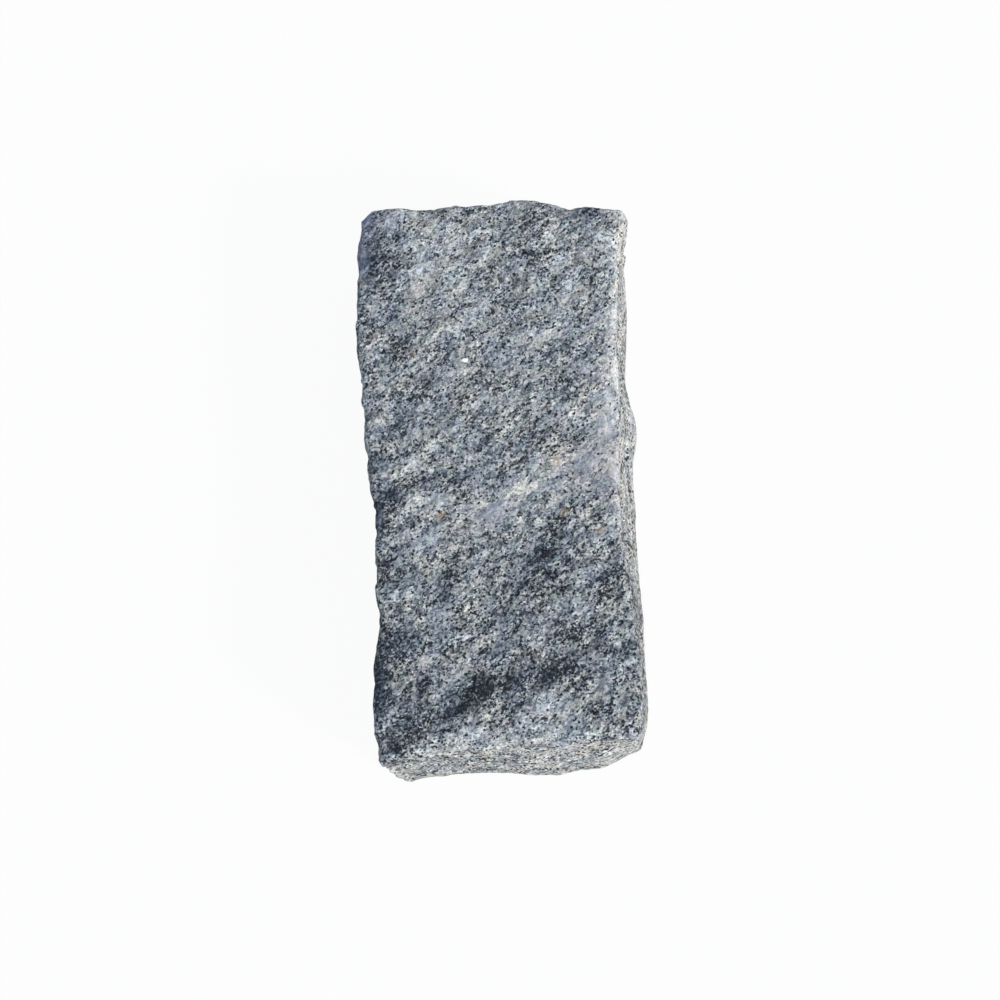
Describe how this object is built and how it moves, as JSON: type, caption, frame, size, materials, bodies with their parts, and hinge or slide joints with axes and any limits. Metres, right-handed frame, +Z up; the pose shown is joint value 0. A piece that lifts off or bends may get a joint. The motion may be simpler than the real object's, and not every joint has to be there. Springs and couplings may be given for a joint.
{
  "type": "granite kerb stone",
  "caption": "Rough hand-split block of grey granite for edging a path or a bed, oblong, with riven faces and chipped arrises.",
  "frame": {"origin": "middle of the bounding box in X and Y, on the flat bed that the stone lies on", "axes": "+Z up out of the bed through the thickness, +Y along the stone's length, +X across it to the side whose flank the picture shows"},
  "size_m": [0.2126, 0.4378, 0.101],
  "materials": {
    "granite": "split granite, blue-grey, banded with black mica flecks and pale feldspar, matt with small glints"
  },
  "bodies": {
    "root": {"kerb_stone": "granite"}
  },
  "joints": []
}
